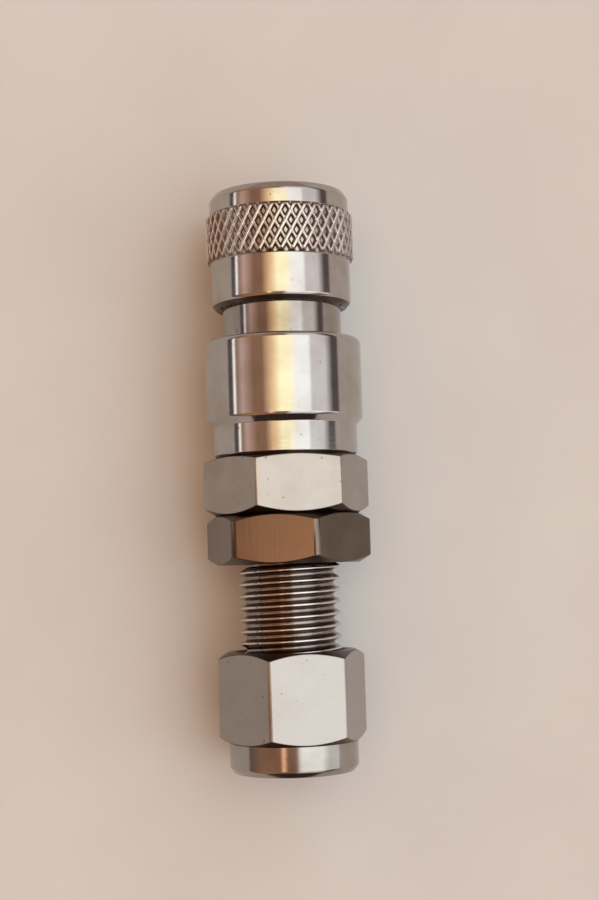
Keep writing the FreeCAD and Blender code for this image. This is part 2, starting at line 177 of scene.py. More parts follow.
def hexagon_columns(flats, turn, corner_round):
    """Angles round a hexagon, close together at its rounded corners and a little past them."""
    centre = (flats - 2 * corner_round) / math.sqrt(3)
    touch = math.atan2(corner_round / 2, centre + corner_round * math.cos(math.pi / 6))
    past = 1.2 * touch
    corner = np.linspace(-past, past, 11)
    flat = np.linspace(past, math.pi / 3 - past, 22)[1:-1]
    sector = np.concatenate([corner, flat])
    return (sector[None, :] + math.pi / 3 * np.arange(6)[:, None]).ravel() + turn + math.pi / 6


def hexagon_radius(angles, flats, turn, corner_round):
    """Distance from the axis to a hexagon: half the flats over the cosine of the angle from the flat's
    middle, and near a corner the far side of the circle that rounds it."""
    from_flat = (angles - turn + math.pi / 6) % (math.pi / 3) - math.pi / 6
    from_corner = math.pi / 6 - np.abs(from_flat)
    centre = (flats - 2 * corner_round) / math.sqrt(3)
    touch = math.atan2(corner_round / 2, centre + corner_round * math.cos(math.pi / 6))
    sideways = centre * np.sin(from_corner)
    arc = centre * np.cos(from_corner) + np.sqrt(np.maximum(corner_round ** 2 - sideways ** 2, 0))
    return np.where(from_corner < touch, arc, flats / 2 / np.cos(from_flat))


def hexagon_corners(radius, flats, bottom, top, bottom_angle, top_angle):
    """Four outline corners of a hexagon whose end corners are turned off: a cone starts just inside the
    flats and meets each flat in the hyperbola that its height over the cone's edge gives."""
    face = flats / 2 - hex_face_step
    low = bottom + (radius - face) * math.tan(math.radians(bottom_angle))
    high = top - (radius - face) * math.tan(math.radians(top_angle))
    return [
        (face, bottom, hex_face_round),
        (radius, low, hex_edge_round),
        (radius, high, hex_edge_round),
        (face, top, hex_face_round),
    ]


def round_axis(radius, station, angles):
    """Places in metres of points at a distance from the axis, a station along it and an angle round it
    that counts from straight up towards +X."""
    x = radius * np.sin(angles)
    y = np.broadcast_to(panel_seat + station, x.shape)
    z = axis_height + radius * np.cos(angles)
    return np.stack([x, y, z], -1).reshape(-1, 3) / 1000


def grid_faces(rows, columns, close_rows=True, close_columns=True):
    """Four-sided faces of a grid of vertices, outwards when rows go counter-clockwise round an outline."""
    i = np.arange(rows if close_rows else rows - 1)[:, None]
    j = np.arange(columns if close_columns else columns - 1)[None, :]
    i_next = (i + 1) % rows
    j_next = (j + 1) % columns
    corners = [i * columns + j, i * columns + j_next, i_next * columns + j_next, i_next * columns + j]
    return np.stack(np.broadcast_arrays(*corners), -1).reshape(-1, 4)


def piece(name, vertices, faces, materials, smooth=True, material_index=0):
    """Closed mesh object at the origin: vertices that share a place are joined, faces that collapse go,
    and normals are weighted by face area."""
    mesh = bpy.data.meshes.new(name)
    mesh.from_pydata(vertices, [], faces)
    mesh.polygons.foreach_set("use_smooth", np.broadcast_to(smooth, len(faces)).astype(bool))
    mesh.polygons.foreach_set("material_index", np.broadcast_to(material_index, len(faces)).astype(np.int32))
    for material in materials:
        mesh.materials.append(material)
    work = bmesh.new()
    work.from_mesh(mesh)
    bmesh.ops.remove_doubles(work, verts=work.verts, dist=2e-7)
    bmesh.ops.dissolve_degenerate(work, dist=1e-8, edges=work.edges)
    work.to_mesh(mesh)
    work.free()
    obj = bpy.data.objects.new(name, mesh)
    bpy.context.collection.objects.link(obj)
    weighted = obj.modifiers.new("even_normals", "WEIGHTED_NORMAL")
    weighted.keep_sharp = True
    return obj


def thread_radius(angles, station):
    """Right-hand 60 degree thread: the height over the root falls from a flat crest to a rounded root
    with the distance from the crest, which climbs one pitch in each turn. The slope gives shares of the
    height at shares of the pitch."""
    climb = (angles - groove_start) / (2 * math.pi) - 0.5
    turns = (station - stud_end) / thread_pitch - climb
    from_crest = np.abs(turns - np.round(turns))
    height = np.interp(from_crest, *zip(*thread_slope))
    cut = thread_root + (stud_radius - thread_root) * height
    lead_in = stud_radius - stud_lead_in + (station - stud_end)
    shoulder = np.maximum(stud_radius - undercut_length - station, undercut_radius)
    return np.minimum(np.minimum(cut, lead_in), shoulder)


def thread_rows(angles):
    """Rows that follow the thread from the stud's end to its undercut, held at both ends: in each pitch
    one for every point of the slope down from the crest and up to the next."""
    down = np.array(thread_slope)[:, 0]
    phases = np.append(down, 1 - down[-2:0:-1])
    turns = np.arange(-1, math.ceil(-stud_end / thread_pitch) + 2)
    rows = (turns[:, None] + phases[None, :]).reshape(-1, 1)
    climb = (angles[None, :] - groove_start) / (2 * math.pi) - 0.5
    station = np.clip(stud_end + thread_pitch * (rows + climb), stud_end + thread_start, thread_stop)
    return thread_radius(angles[None, :], station), station


def on_flats(rows, corners_before):
    """Rows of an outline that lie on a hexagon's flats, counted from the corners before the hexagon: from
    the middle of its second corner's arc to the middle of its third."""
    start = arc_rows * (corners_before + 1) + arc_rows // 2
    return (np.arange(rows) >= start) & (np.arange(rows) < start + arc_rows)


def specked(material, place, colour):
    """A colour with small dark specks of dirt and nicks, about 0.2 mm across and a few millimetres apart."""
    specks = add(material, "ShaderNodeTexNoise", {"Vector": place, "Scale": 1500.0, "Detail": 2.0})
    dirt = add(material, "ShaderNodeMapRange",
               {"Value": specks, "From Min": 0.72, "From Max": 0.76, "To Max": 0.5})
    return add(material, "ShaderNodeMix",
               {"Factor": dirt, "A": colour, "B": linear("#3A2E26")}, data_type="RGBA")


def bar_steel(name, tint, dark, rough_low, rough_high):
    """Stainless hexagon bar with the satin skin of cold drawing: a soft mirror with faint draw lines
    along the bar about 0.3 mm apart, slight clouding and a few darker specks."""
    material = new_material(name)
    place = from_axis(material)
    along = add(material, "ShaderNodeVectorMath", {0: place, 1: (3300, 160, 3300)}, operation="MULTIPLY")
    lines = add(material, "ShaderNodeTexNoise", {"Vector": along, "Scale": 1.0, "Detail": 3.0})
    clouds = add(material, "ShaderNodeTexNoise", {"Vector": place, "Scale": 260.0, "Detail": 4.0})
    colour = add(material, "ShaderNodeValToRGB", {"Fac": clouds}, stops=[(0.30, dark), (0.62, tint)])
    rough = add(material, "ShaderNodeMapRange", {
        "Value": clouds, "From Min": 0.3, "From Max": 0.7, "To Min": rough_low, "To Max": rough_high})
    bump = add(material, "ShaderNodeBump", {"Height": lines, "Strength": 0.10, "Distance": 0.00002})
    return shade(material, {"Base Color": specked(material, place, colour), "Metallic": 1.0,
                            "Roughness": rough, "Normal": bump})


def turned_end_steel():
    """Turned ends and chamfers of the hexagons: dull, and painted dark with a patchy tone as the shade that
    falls in these corners between parts.
    """
    material = new_material("painted_shade_turned_end_steel")
    painted_shade_mottle = add(material, "ShaderNodeTexNoise", {"Vector": from_axis(material), "Scale": 500.0, "Detail": 4.0})
    # painted shade: a dark base colour on the ends and chamfers
    colour = add(material, "ShaderNodeValToRGB", {"Fac": painted_shade_mottle}, stops=[(0.3, "#443A34"), (0.7, "#60554E")])
    return shade(material, {"Base Color": colour, "Metallic": 1.0, "Roughness": 0.3})


def thread_steel():
    """Cut stainless thread with uneven brown grime. Going by the distance from the axis it is painted bright
    on the crests as a highlight and painted dark on the flanks as shade, and the roots are lighter than the
    flanks."""
    material = new_material("grime_and_painted_light_thread_steel")
    place = from_axis(material)
    depth = add(material, "ShaderNodeMapRange", {
        "Value": axis_distance(material, place), "From Min": thread_root, "From Max": stud_radius})
    dirt = add(material, "ShaderNodeTexNoise", {"Vector": place, "Scale": 900.0, "Detail": 4.0})
    uneven = add(material, "ShaderNodeMath", {0: dirt, 1: 0.34, 2: depth}, operation="MULTIPLY_ADD")
    # painted light: a bright highlight on the crests and dark shade on the flanks
    colour = add(material, "ShaderNodeValToRGB", {"Fac": uneven},
                 stops=[(0.16, "#958C84"), (0.32, "#574A43"), (0.85, "#6B5F57"), (1.0, "#CBC9C6")])
    rough = add(material, "ShaderNodeMapRange",
                {"Value": uneven, "From Min": 0.2, "From Max": 1.0, "To Min": 0.20, "To Max": 0.10})
    return shade(material, {"Base Color": colour, "Metallic": 1.0, "Roughness": rough})


stud_end, spigot_top = stations("adapter")
hex_top, nose_top = stations("housing")
columns = hexagon_columns(adapter_flats, adapter_turn, adapter_corner)
angles = np.append(columns, columns[0] + 2 * math.pi)
hexagon = hexagon_radius(angles, adapter_flats, adapter_turn, adapter_corner)
radius, station = rounded([
    (mouth_radius, stud_end, 0.05),
    (thread_radius(angles, stud_end + thread_start), stud_end, 0.04),
    (undercut_radius, 0, 0.15),
    *hexagon_corners(hexagon, adapter_flats, 0, hex_top, hex_chamfer, hex_top_chamfer),
    (spigot_radius, hex_top, 0.10),
    (spigot_radius, spigot_top - seal_seat, 0.10),
    (seal_bed, spigot_top - seal_seat, 0.10),
    (seal_bed, spigot_top, 0.15),
    (pocket_radius, spigot_top, 0.15),
    (pocket_radius, spigot_top - pocket_depth, 0.10),
    (flow_radius, spigot_top - pocket_depth, 0.10),
    (flow_radius, stud_end + tube_depth, 0.10),
    (tube_radius, stud_end + tube_depth, 0.10),
    (tube_radius, stud_end + mouth_depth, 0.10),
], len(angles))
under_thread = 2 * arc_rows
thread_r, thread_s = thread_rows(angles)
finish = np.where(on_flats(len(radius), 3), 0, 2)
finish = np.concatenate([finish[:under_thread - 1], np.full(len(thread_r) + 2, 1), finish[under_thread + 1:]])
radius = np.concatenate([radius[:under_thread], thread_r, radius[under_thread:]])
station = np.concatenate([station[:under_thread], thread_s, station[under_thread:]])
# end steel: ends, chamfers and bores painted dark as shade
end_steel = turned_end_steel()
adapter = piece(
    "adapter_body", round_axis(radius, station, angles), grid_faces(*radius.shape, close_columns=False),
    [bar_steel("drawn_satin_bar_steel", "#A8A29C", "#9B948D", 0.26, 0.32), thread_steel(), end_steel],
    material_index=np.repeat(finish, len(columns)))
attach(adapter, "coupling_body")
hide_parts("adapter")


# Seals: three O-rings moulded in black fluorocarbon rubber. One seals the adapter's spigot in the
# housing, one the stem in the socket, and one rides on the poppet and closes the valve.
def moulded_rubber():
    """Moulded rubber: black, dull, with a fine mottle that catches light here and there."""
    material = new_material("moulded_black_rubber")
    mottle = add(material, "ShaderNodeTexNoise",
                 {"Vector": from_axis(material), "Scale": 2500.0, "Detail": 3.0})
    colour = add(material, "ShaderNodeValToRGB", {"Fac": mottle}, stops=[(0.3, "#0E0D0D"), (0.7, "#1C1B1A")])
    bump = add(material, "ShaderNodeBump", {"Height": mottle, "Strength": 0.15, "Distance": 0.00002})
    return shade(material, {"Base Color": colour, "Roughness": 0.5, "Normal": bump})


def o_ring(name, node, material):
    """Ring of round section, sized by its CAD node: a circle carried round the axis."""
    low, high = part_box(node)
    section = 500 * (high[1] - low[1])
    mean = 500 * (high[0] - low[0]) - section
    turn = np.linspace(0, 2 * math.pi, 24, endpoint=False)[:, None]
    angles = np.linspace(0, 2 * math.pi, 120, endpoint=False)[None, :]
    radius = mean + section * np.cos(turn) + 0 * angles
    station = np.mean(stations(node)) + section * np.sin(turn)
    return piece(name, round_axis(radius, station, angles), grid_faces(*radius.shape), [material])


rubber = moulded_rubber()
for name, node, body in (
    ("adapter_o_ring", "adapter_seal", "coupling_body"),
    ("stem_o_ring", "stem_seal", "coupling_body"),
    ("poppet_o_ring", "poppet_seal", "poppet"),
):
    ring = o_ring(name, node, rubber)
    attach(ring, body)
    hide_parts(node)


# Poppet: the shut-off valve, turned from stainless bar. Its nose is pushed by the stem, the groove in
# its head holds an O-ring, and its flange, milled with four flow notches, guides it in the chamber.
stub_length = 2.40
stub_radius = 3.33
flange_length = 2.00
flange_radius = 5.10
notch_width = 3.20
notch_floor = 4.00
groove_radius = 3.27
groove_width = 1.26
lip_radius = 3.57
lip_length = 0.35
shoulder_length = 1.00
valve_nose_radius = 2.00
tip_chamfer = 0.40


def machined_steel(name, tint, dark, line_mm, rough_low, rough_high):
    """Turned stainless: fine rings left by the tool, a set distance apart along the axis and drawn as
    coarse as the render needs, over a bright surface with faint brownish clouding and specks."""
    material = new_material(name)
    place = from_axis(material)
    rings = add(material, "ShaderNodeVectorMath",
                {0: place, 1: (25, 1000 / line_mm, 25)}, operation="MULTIPLY")
    lines = add(material, "ShaderNodeTexNoise",
                {"Vector": rings, "Scale": 1.0, "Detail": 4.0, "Roughness": 0.7})
    clouds = add(material, "ShaderNodeTexNoise", {"Vector": place, "Scale": 320.0, "Detail": 3.0})
    colour = add(material, "ShaderNodeValToRGB", {"Fac": clouds}, stops=[(0.30, dark), (0.60, tint)])
    rough = add(material, "ShaderNodeMapRange", {
        "Value": lines, "From Min": 0.3, "From Max": 0.7, "To Min": rough_low, "To Max": rough_high})
    bump = add(material, "ShaderNodeBump", {"Height": lines, "Strength": 0.12, "Distance": 0.00002})
    return shade(material, {"Base Color": specked(material, place, colour), "Metallic": 1.0,
                            "Roughness": rough, "Normal": bump})


stub_end, tip = stations("poppet")
flange_bottom = stub_end + stub_length
flange_top = flange_bottom + flange_length
lip_bottom = flange_top + groove_width
lip_top = lip_bottom + lip_length
angles = np.linspace(0, 2 * math.pi, 240, endpoint=False)
from_notch = np.abs((angles + math.pi / 4) % (math.pi / 2) - math.pi / 4)
in_notch = flange_radius * np.sin(from_notch) < notch_width / 2
flange = np.where(in_notch, np.minimum(notch_floor / np.cos(from_notch), flange_radius), flange_radius)
radius, station = rounded([
    (0, stub_end, 0),
    (stub_radius, stub_end, 0.20),
    (stub_radius, flange_bottom, 0.10),
    (flange, flange_bottom, 0.08),
    (flange, flange_top, 0.08),
    (groove_radius, flange_top, 0.05),
    (groove_radius, lip_bottom, 0.05),
    (lip_radius, lip_bottom, 0.05),
    (lip_radius, lip_top, 0.10),
    (valve_nose_radius, lip_top + shoulder_length, 0.15),
    (valve_nose_radius, tip - tip_chamfer, 0.05),
    (valve_nose_radius - tip_chamfer, tip, 0.05),
    (0, tip, 0),
], len(angles))
poppet = piece(
    "poppet_valve", round_axis(radius, station, angles), grid_faces(*radius.shape, close_rows=False),
    [machined_steel("turned_valve_steel", "#C4C1BD", "#B0A9A1", 0.25, 0.16, 0.26)])
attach(poppet, "poppet")
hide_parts("poppet")


# Springs: two compression springs wound from drawn stainless wire with their ends ground flat. One
# closes the poppet against its seat, the other holds the sleeve forward on the nose.
end_grinding = 0.20


def spring_wire_steel():
    """Drawn spring wire: a little darker than bar, dull-bright, with fine streaks."""
    material = new_material("drawn_spring_wire")
    streaks = add(material, "ShaderNodeTexNoise",
                  {"Vector": from_axis(material), "Scale": 1800.0, "Detail": 2.0})
    colour = add(material, "ShaderNodeValToRGB", {"Fac": streaks}, stops=[(0.3, "#8F8A84"), (0.7, "#ABA69F")])
    return shade(material, {"Base Color": colour, "Metallic": 1.0, "Roughness": 0.28})


def coil(name, wire, mean, bottom, top, turns, material):
    """Helix of round wire: a circle carried up a helix, held between the two ground ends, with the first
    and the last circle drawn to a point to close it."""
    along = np.linspace(0, 1, int(64 * turns))[:, None]
    round_wire = np.linspace(0, 2 * math.pi, 16, endpoint=False)[None, :]
    width = np.where((along > 0) & (along < 1), wire / 2, 0)
    start = wire / 2 - end_grinding
    angles = 2 * math.pi * turns * along + 0 * round_wire
    radius = mean + width * np.cos(round_wire)
    station = bottom + start + (top - bottom - 2 * start) * along - width * np.sin(round_wire)
    station = np.clip(station, bottom, top)
    return piece(name, round_axis(radius, station, angles), grid_faces(*radius.shape, close_rows=False),
                 [material])


wire_steel = spring_wire_steel()
for name, node, joint, wire, mean, turns, travel in (
    ("poppet_return_spring", "poppet_spring", "poppet_slide", 0.60, 3.765, 6.5, 3.0),
    ("sleeve_return_spring", "sleeve_spring", "sleeve_slide", 0.65, 6.06, 3.5, 2.4),
):
    bottom, top = stations(node)
    spring = coil(name, wire, mean, bottom, top, turns, wire_steel)
    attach(spring, "coupling_body")
    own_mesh(spring)
    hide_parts(node)


# Housing: turned and polished from stainless bar. Collar and barrel hold the valve, the neck guides the
# sleeve, and the nose carries six locking balls in drilled holes that narrow at the socket.
spigot_bore = 6.66
spigot_play = 0.06
collar_radius = 7.90
collar_top = 9.65
collar_edge = 0.30
barrel_radius = 8.60
barrel_bottom = 10.35
shoulder = 19.11
barrel_round = 0.60
neck_radius = 6.52
neck_top = 24.65
neck_corners = range(6, 8)
nose_radius = 5.60
ring_groove = 5.25
ring_play = 0.03
nose_mouth = 4.20
mouth_chamfer = 0.50
socket_radius = 4.00
socket_top = 29.90
stem_groove = 5.41
stem_groove_top = 23.75
stem_groove_bottom = 21.85
seat_top = 20.31
chamber_radius = 5.20
ball_count = 6
hole_radius = 1.2405
hole_lip = 1.187
hole_step = 0.15
drill_start = 3.00
drill_end = 6.80


def turned(name, corners, materials, second=range(0), columns=192):
    """Piece turned about the coupling axis from a closed outline of (radius, station, rounding) corners.
    The second material goes on the stretches that start at the corners named for it."""
    angles = np.linspace(0, 2 * math.pi, columns, endpoint=False)
    radius, station = rounded(corners, columns)
    finish = np.isin((np.arange(len(radius)) - arc_rows // 2) // arc_rows, second)
    return piece(name, round_axis(radius, station, angles), grid_faces(*radius.shape), materials,
                 material_index=np.repeat(finish, columns))


def ball_hole_drill(material):
    """Six stepped cutters that point away from the axis, each a circle carried along its own radius."""
    low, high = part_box("locking_ball_1")
    ball_station = 500 * (low[1] + high[1])
    around = np.linspace(0, 2 * math.pi, 40, endpoint=False)[None, None, :]
    turn = (2 * math.pi / ball_count * (np.arange(ball_count) + 0.5))[:, None, None]
    cutter = np.array([0, hole_lip, hole_lip, hole_radius, hole_radius, 0])[None, :, None]
    step_top = nose_mouth + hole_step
    outward = np.array([drill_start, drill_start, nose_mouth, step_top, drill_end, drill_end])[None, :, None]
    sideways = cutter * np.cos(around)
    x = outward * np.sin(turn) + sideways * np.cos(turn)
    y = ball_station + cutter * np.sin(around) + 0 * turn
    z = axis_height + outward * np.cos(turn) - sideways * np.sin(turn)
    rows, columns = x.shape[1:]
    one = grid_faces(rows, columns, close_rows=False)
    faces = one[None] + rows * columns * np.arange(ball_count)[:, None, None]
    vertices = np.stack([x, y, z], -1).reshape(-1, 3) / 1000
    return piece("ball_hole_drill", vertices, faces.reshape(-1, 4), [material])


ring_bottom, ring_top = stations("sleeve_retaining_ring")
barrel_steel = machined_steel("polished_turned_steel", "#B2B1AE", "#A8A39E", 0.30, 0.06, 0.11)
# The neck's steel is a little rougher, and it is painted darker than the barrel's as the shade in the recess
# between barrel and sleeve.
neck_steel = machined_steel("rubbed_neck_steel_painted_shade", "#A09C97", "#908881", 0.30, 0.08, 0.15)
housing = turned("housing_body", [
    (spigot_bore, hex_top, 0.05),
    (collar_radius - collar_edge, hex_top, 0.05),
    (collar_radius, hex_top + collar_edge, 0.06),
    (collar_radius, collar_top, 0.08),
    (barrel_radius, barrel_bottom, 0.50),
    (barrel_radius, shoulder, barrel_round),
    (neck_radius, shoulder, 0.12),
    (neck_radius, neck_top, 0.10),
    (nose_radius, neck_top, 0.10),
    (nose_radius, ring_bottom - ring_play, 0.03),
    (ring_groove, ring_bottom - ring_play, 0.05),
    (ring_groove, ring_top + ring_play, 0.05),
    (nose_radius, ring_top + ring_play, 0.03),
    (nose_radius, nose_top - mouth_chamfer, 0.06),
    (nose_radius - mouth_chamfer, nose_top, 0.08),
    (nose_mouth + mouth_chamfer, nose_top, 0.08),
    (nose_mouth, nose_top - mouth_chamfer, 0.10),
    (nose_mouth, socket_top + nose_mouth - socket_radius, 0.02),
    (socket_radius, socket_top, 0.02),
    (socket_radius, stem_groove_top, 0.08),
    (stem_groove, stem_groove_top, 0.05),
    (stem_groove, stem_groove_bottom, 0.05),
    (socket_radius, stem_groove_bottom, 0.08),
    (socket_radius, seat_top, 0.05),
    (chamber_radius, shoulder, 0.10),
    (chamber_radius, spigot_top + spigot_play, 0.05),
    (spigot_bore, spigot_top + spigot_play, 0.05),
], [barrel_steel, neck_steel], second=neck_corners)
drill = ball_hole_drill(barrel_steel)
drilled = housing.modifiers.new("ball_holes", "BOOLEAN")
drilled.object = drill
drilled.solver = "EXACT"
finished = housing.evaluated_get(bpy.context.evaluated_depsgraph_get())
housing.data = bpy.data.meshes.new_from_object(finished)
housing.modifiers.remove(drilled)
bpy.data.objects.remove(drill)
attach(housing, "coupling_body")
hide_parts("housing")


# Locking balls: six ground and polished stainless balls in the holes of the nose. The land of the
# sleeve holds them inwards, and they move out when it is pulled back.
ball_rows = 33
ball_columns = 64


def ground_steel():
    """Ground and polished ball steel: a clean mirror with hardly any haze."""
    material = new_material("ground_ball_steel")
    haze = add(material, "ShaderNodeTexNoise",
               {"Vector": from_axis(material), "Scale": 1200.0, "Detail": 2.0})
    rough = add(material, "ShaderNodeMapRange", {"Value": haze, "To Min": 0.05, "To Max": 0.10})
    return shade(material, {"Base Color": linear("#D0CECB"), "Metallic": 1.0, "Roughness": rough})


ball_steel = ground_steel()
latitude = np.linspace(-math.pi / 2, math.pi / 2, ball_rows)[:, None]
longitude = np.linspace(0, 2 * math.pi, ball_columns, endpoint=False)[None, :]
unit_ball = np.stack(np.broadcast_arrays(
    np.cos(latitude) * np.sin(longitude), np.sin(latitude), np.cos(latitude) * np.cos(longitude)), -1)
for number in range(1, ball_count + 1):
    low, high = np.array(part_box(f"locking_ball_{number}"))
    places = (low + high) / 2 + (high[1] - low[1]) / 2 * unit_ball
    ball = piece(
        f"lock_ball_{number}", places.reshape(-1, 3),
        grid_faces(ball_rows, ball_columns, close_rows=False), [ball_steel])
    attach(ball, f"ball_{number}")
    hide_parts(f"locking_ball_{number}")


# Sleeve: turned from stainless bar, with a diamond knurl rolled into its grip, a plain rim in front
# and a smooth polished band behind. Inside, a land holds the balls and a recess lets them out.
sleeve_radius = 7.70
sleeve_bore = 6.62
rear_edge = 0.55
countersink = 0.40
front_edge = 0.45
front_bevel = 0.75
rim_length = 2.25
recess_radius = 6.73
stop_radius = 6.43
land_radius = 5.79
land_bottom = 29.85
land_top = 31.60
knurl_length = 5.50
knurl_bevel = 0.40
knurl_floor = 7.78
knurl_ridge = 8.12
knurl_teeth = 42
knurl_slant = math.radians(30)
knurl_turn = math.radians(-3)
knurl_lift = 0.15
knurl_margin = 0.05
knurl_steps = 6
knurl_phase = 3.5


def knurl_steel():
    """Rolled knurl with uneven grime, going by the distance from the axis: the walls of the pits are a little
    rough and painted dark as shade, their flat floors are lighter, and the ridges are painted bright as a
    highlight."""
    material = new_material("rolled_knurl_painted_light_steel")
    place = from_axis(material)
    dirt = add(material, "ShaderNodeTexNoise", {"Vector": place, "Scale": 700.0, "Detail": 4.0})
    height = add(material, "ShaderNodeMapRange", {
        "Value": axis_distance(material, place), "From Min": knurl_floor, "From Max": knurl_ridge})
    uneven = add(material, "ShaderNodeMath", {0: dirt, 1: 0.20, 2: height}, operation="MULTIPLY_ADD")
    # painted light: the walls of the pits dark as shade and the ridges bright as a highlight
    colour = add(material, "ShaderNodeValToRGB", {"Fac": uneven},
                 stops=[(0.10, "#B4ADA6"), (0.24, "#685F58"), (0.75, "#857C74"), (0.97, "#D2CFCB")])
    rough = add(material, "ShaderNodeMapRange",
                {"Value": uneven, "From Min": 0.15, "From Max": 0.9, "To Min": 0.30, "To Max": 0.20})
    return shade(material, {"Base Color": colour, "Metallic": 1.0, "Roughness": rough})


def knurl_height(row, column):
    """Height of a diamond knurl on its own grid, the greater of two crossing families of ridges, a diamond
    apart: each falls from a blunt ridge to a flat floor, and the first is rolled a little less deep."""
    ridges = np.stack([row + column, row - column]) / (2 * knurl_steps)
    first, second = np.interp(2 * np.abs(ridges - np.round(ridges)), [0, 1 / 4, 2 / 3], [1, 0.94, 0])
    return np.maximum(0.8 * first, second)


sleeve_bottom, sleeve_top = stations("sleeve")
knurl_top = sleeve_top - rim_length
knurl_bottom = knurl_top - knurl_length
column_count = 2 * knurl_teeth * knurl_steps
column = np.arange(column_count)[None, :]
angles = knurl_turn + 2 * math.pi / column_count * column[0]
radius, station = rounded([
    (sleeve_bore + countersink, sleeve_bottom, 0.04),
    (sleeve_radius - rear_edge, sleeve_bottom, 0.25),
    (sleeve_radius, sleeve_bottom + rear_edge, 0.50),
    (sleeve_radius, knurl_bottom, 0.02),
    (sleeve_radius, knurl_top, 0.02),
    (sleeve_radius, sleeve_top - front_bevel, 0.45),
    (sleeve_radius - front_edge, sleeve_top, 0.25),
    (recess_radius, sleeve_top, 0.06),
    (recess_radius, ring_bottom, 0.05),
    (stop_radius, ring_bottom, 0.05),
    (stop_radius, land_top + stop_radius - land_radius, 0.05),
    (land_radius, land_top, 0.05),
    (land_radius, land_bottom, 0.05),
    (sleeve_bore, land_bottom, 0.05),
    (sleeve_bore, sleeve_bottom + countersink, 0.05),
], column_count)
row_rise = math.pi * knurl_ridge / knurl_teeth / math.tan(knurl_slant) / knurl_steps
knurl_middle = (knurl_bottom + knurl_top) / 2 + knurl_lift
first_row = math.ceil((knurl_bottom + knurl_margin - knurl_middle) / row_rise)
last_row = math.floor((knurl_top - knurl_margin - knurl_middle) / row_rise)
row = np.arange(first_row, last_row + 1)[:, None]
lattice_row = row + int(knurl_phase * knurl_steps)
pits = knurl_floor + (knurl_ridge - knurl_floor) * knurl_height(lattice_row, column)
knurl_s = knurl_middle + row * row_rise + 0 * column
bevel = np.minimum(knurl_s - knurl_bottom, knurl_top - knurl_s) / knurl_bevel
knurl_r = np.minimum(pits, sleeve_radius + (knurl_ridge - sleeve_radius) * bevel)
under_knurl = 4 * arc_rows
over_knurl = under_knurl + len(row)
radius = np.concatenate([radius[:under_knurl], knurl_r, radius[under_knurl:]])
station = np.concatenate([station[:under_knurl], knurl_s, station[under_knurl:]])
quads = grid_faces(*radius.shape).reshape(*radius.shape, 4)
cells = quads[under_knurl:over_knurl - 1]
even = ((lattice_row[:-1] // knurl_steps + column // knurl_steps) % 2 == 0)[..., None]
facets = np.concatenate([
    np.where(even, cells[..., [0, 1, 2]], cells[..., [0, 1, 3]]).reshape(-1, 3),
    np.where(even, cells[..., [0, 2, 3]], cells[..., [1, 2, 3]]).reshape(-1, 3)])
feet = quads[[under_knurl - 1, over_knurl - 1]].reshape(-1, 4)
plain = np.concatenate([quads[:under_knurl - 1], quads[over_knurl:]]).reshape(-1, 4)
face = np.arange(len(plain) + len(feet) + len(facets))
on_knurl = face >= len(plain)
# The rear edge and countersink take the end steel, painted dark as the shade between the sleeve and the neck.
painted_shade_at_rear = face < 2 * arc_rows * column_count
sleeve = piece(
    "knurled_sleeve", round_axis(radius, station, angles), plain.tolist() + feet.tolist() + facets.tolist(),
    [
        machined_steel("polished_sleeve_steel", "#B3B0AC", "#A7A19B", 0.30, 0.07, 0.13),
        knurl_steel(),
        end_steel,
    ],
    smooth=~on_knurl, material_index=np.where(on_knurl, 1, np.where(painted_shade_at_rear, 2, 0)))
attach(sleeve, "sleeve")
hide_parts("sleeve")


# Retaining ring: a split ring stamped from spring steel strip. It snaps into the groove of the nose
# and stops the sleeve's step.
ring_inner = 5.28
ring_outer = 6.58
ring_gap = 2.20
ring_columns = 150

half_gap = math.asin(ring_gap / (ring_inner + ring_outer))
angles = np.linspace(half_gap, 2 * math.pi - half_gap, ring_columns)
angles = np.concatenate([angles[:1], angles, angles[-1:]])
radius, station = rounded([
    (ring_inner, ring_bottom, 0.06),
    (ring_outer, ring_bottom, 0.06),
    (ring_outer, ring_top, 0.06),
    (ring_inner, ring_top, 0.06),
], len(angles))
cut_ends = np.r_[0, np.ones(ring_columns), 0]
ring_mean = (ring_inner + ring_outer) / 2
ring_middle = (ring_bottom + ring_top) / 2
radius = ring_mean + (radius - ring_mean) * cut_ends
station = ring_middle + (station - ring_middle) * cut_ends
snap_ring = piece(
    "split_retaining_ring", round_axis(radius, station, angles),
    grid_faces(*radius.shape, close_columns=False), [wire_steel])
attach(snap_ring, "coupling_body")
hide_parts("sleeve_retaining_ring")


# Jam nut: a thin nut of stainless hexagon bar that clamps the panel against the adapter's hexagon. Both
# ends are turned off at thirty degrees and the thread is countersunk. Its skin is darker and browner.
jam_nut_flats = 15.875
jam_nut_turn = math.radians(-9.8)
jam_nut_corner = 0.75
nut_bore = 5.61
nut_countersink = 0.50


def hexagon_piece(name, flats, turn, corner_round, below, hex_ends, above, materials):
    """Piece with a hexagon between two stations, the corners of its outline below and above it given. Its
    materials are those of the flats, of the turned ends and, as the last, of what is below the hexagon."""
    angles = hexagon_columns(flats, turn, corner_round)
    outline = hexagon_radius(angles, flats, turn, corner_round)
    sides = hexagon_corners(outline, flats, *hex_ends, hex_chamfer, hex_chamfer)
    radius, station = rounded([*below, *sides, *above], len(angles))
    finish = np.where(on_flats(len(radius), len(below)), 0, 1)
    finish[:arc_rows * len(below)] = len(materials) - 1
    return piece(name, round_axis(radius, station, angles), grid_faces(*radius.shape), materials,
                 material_index=np.repeat(finish, len(angles)))


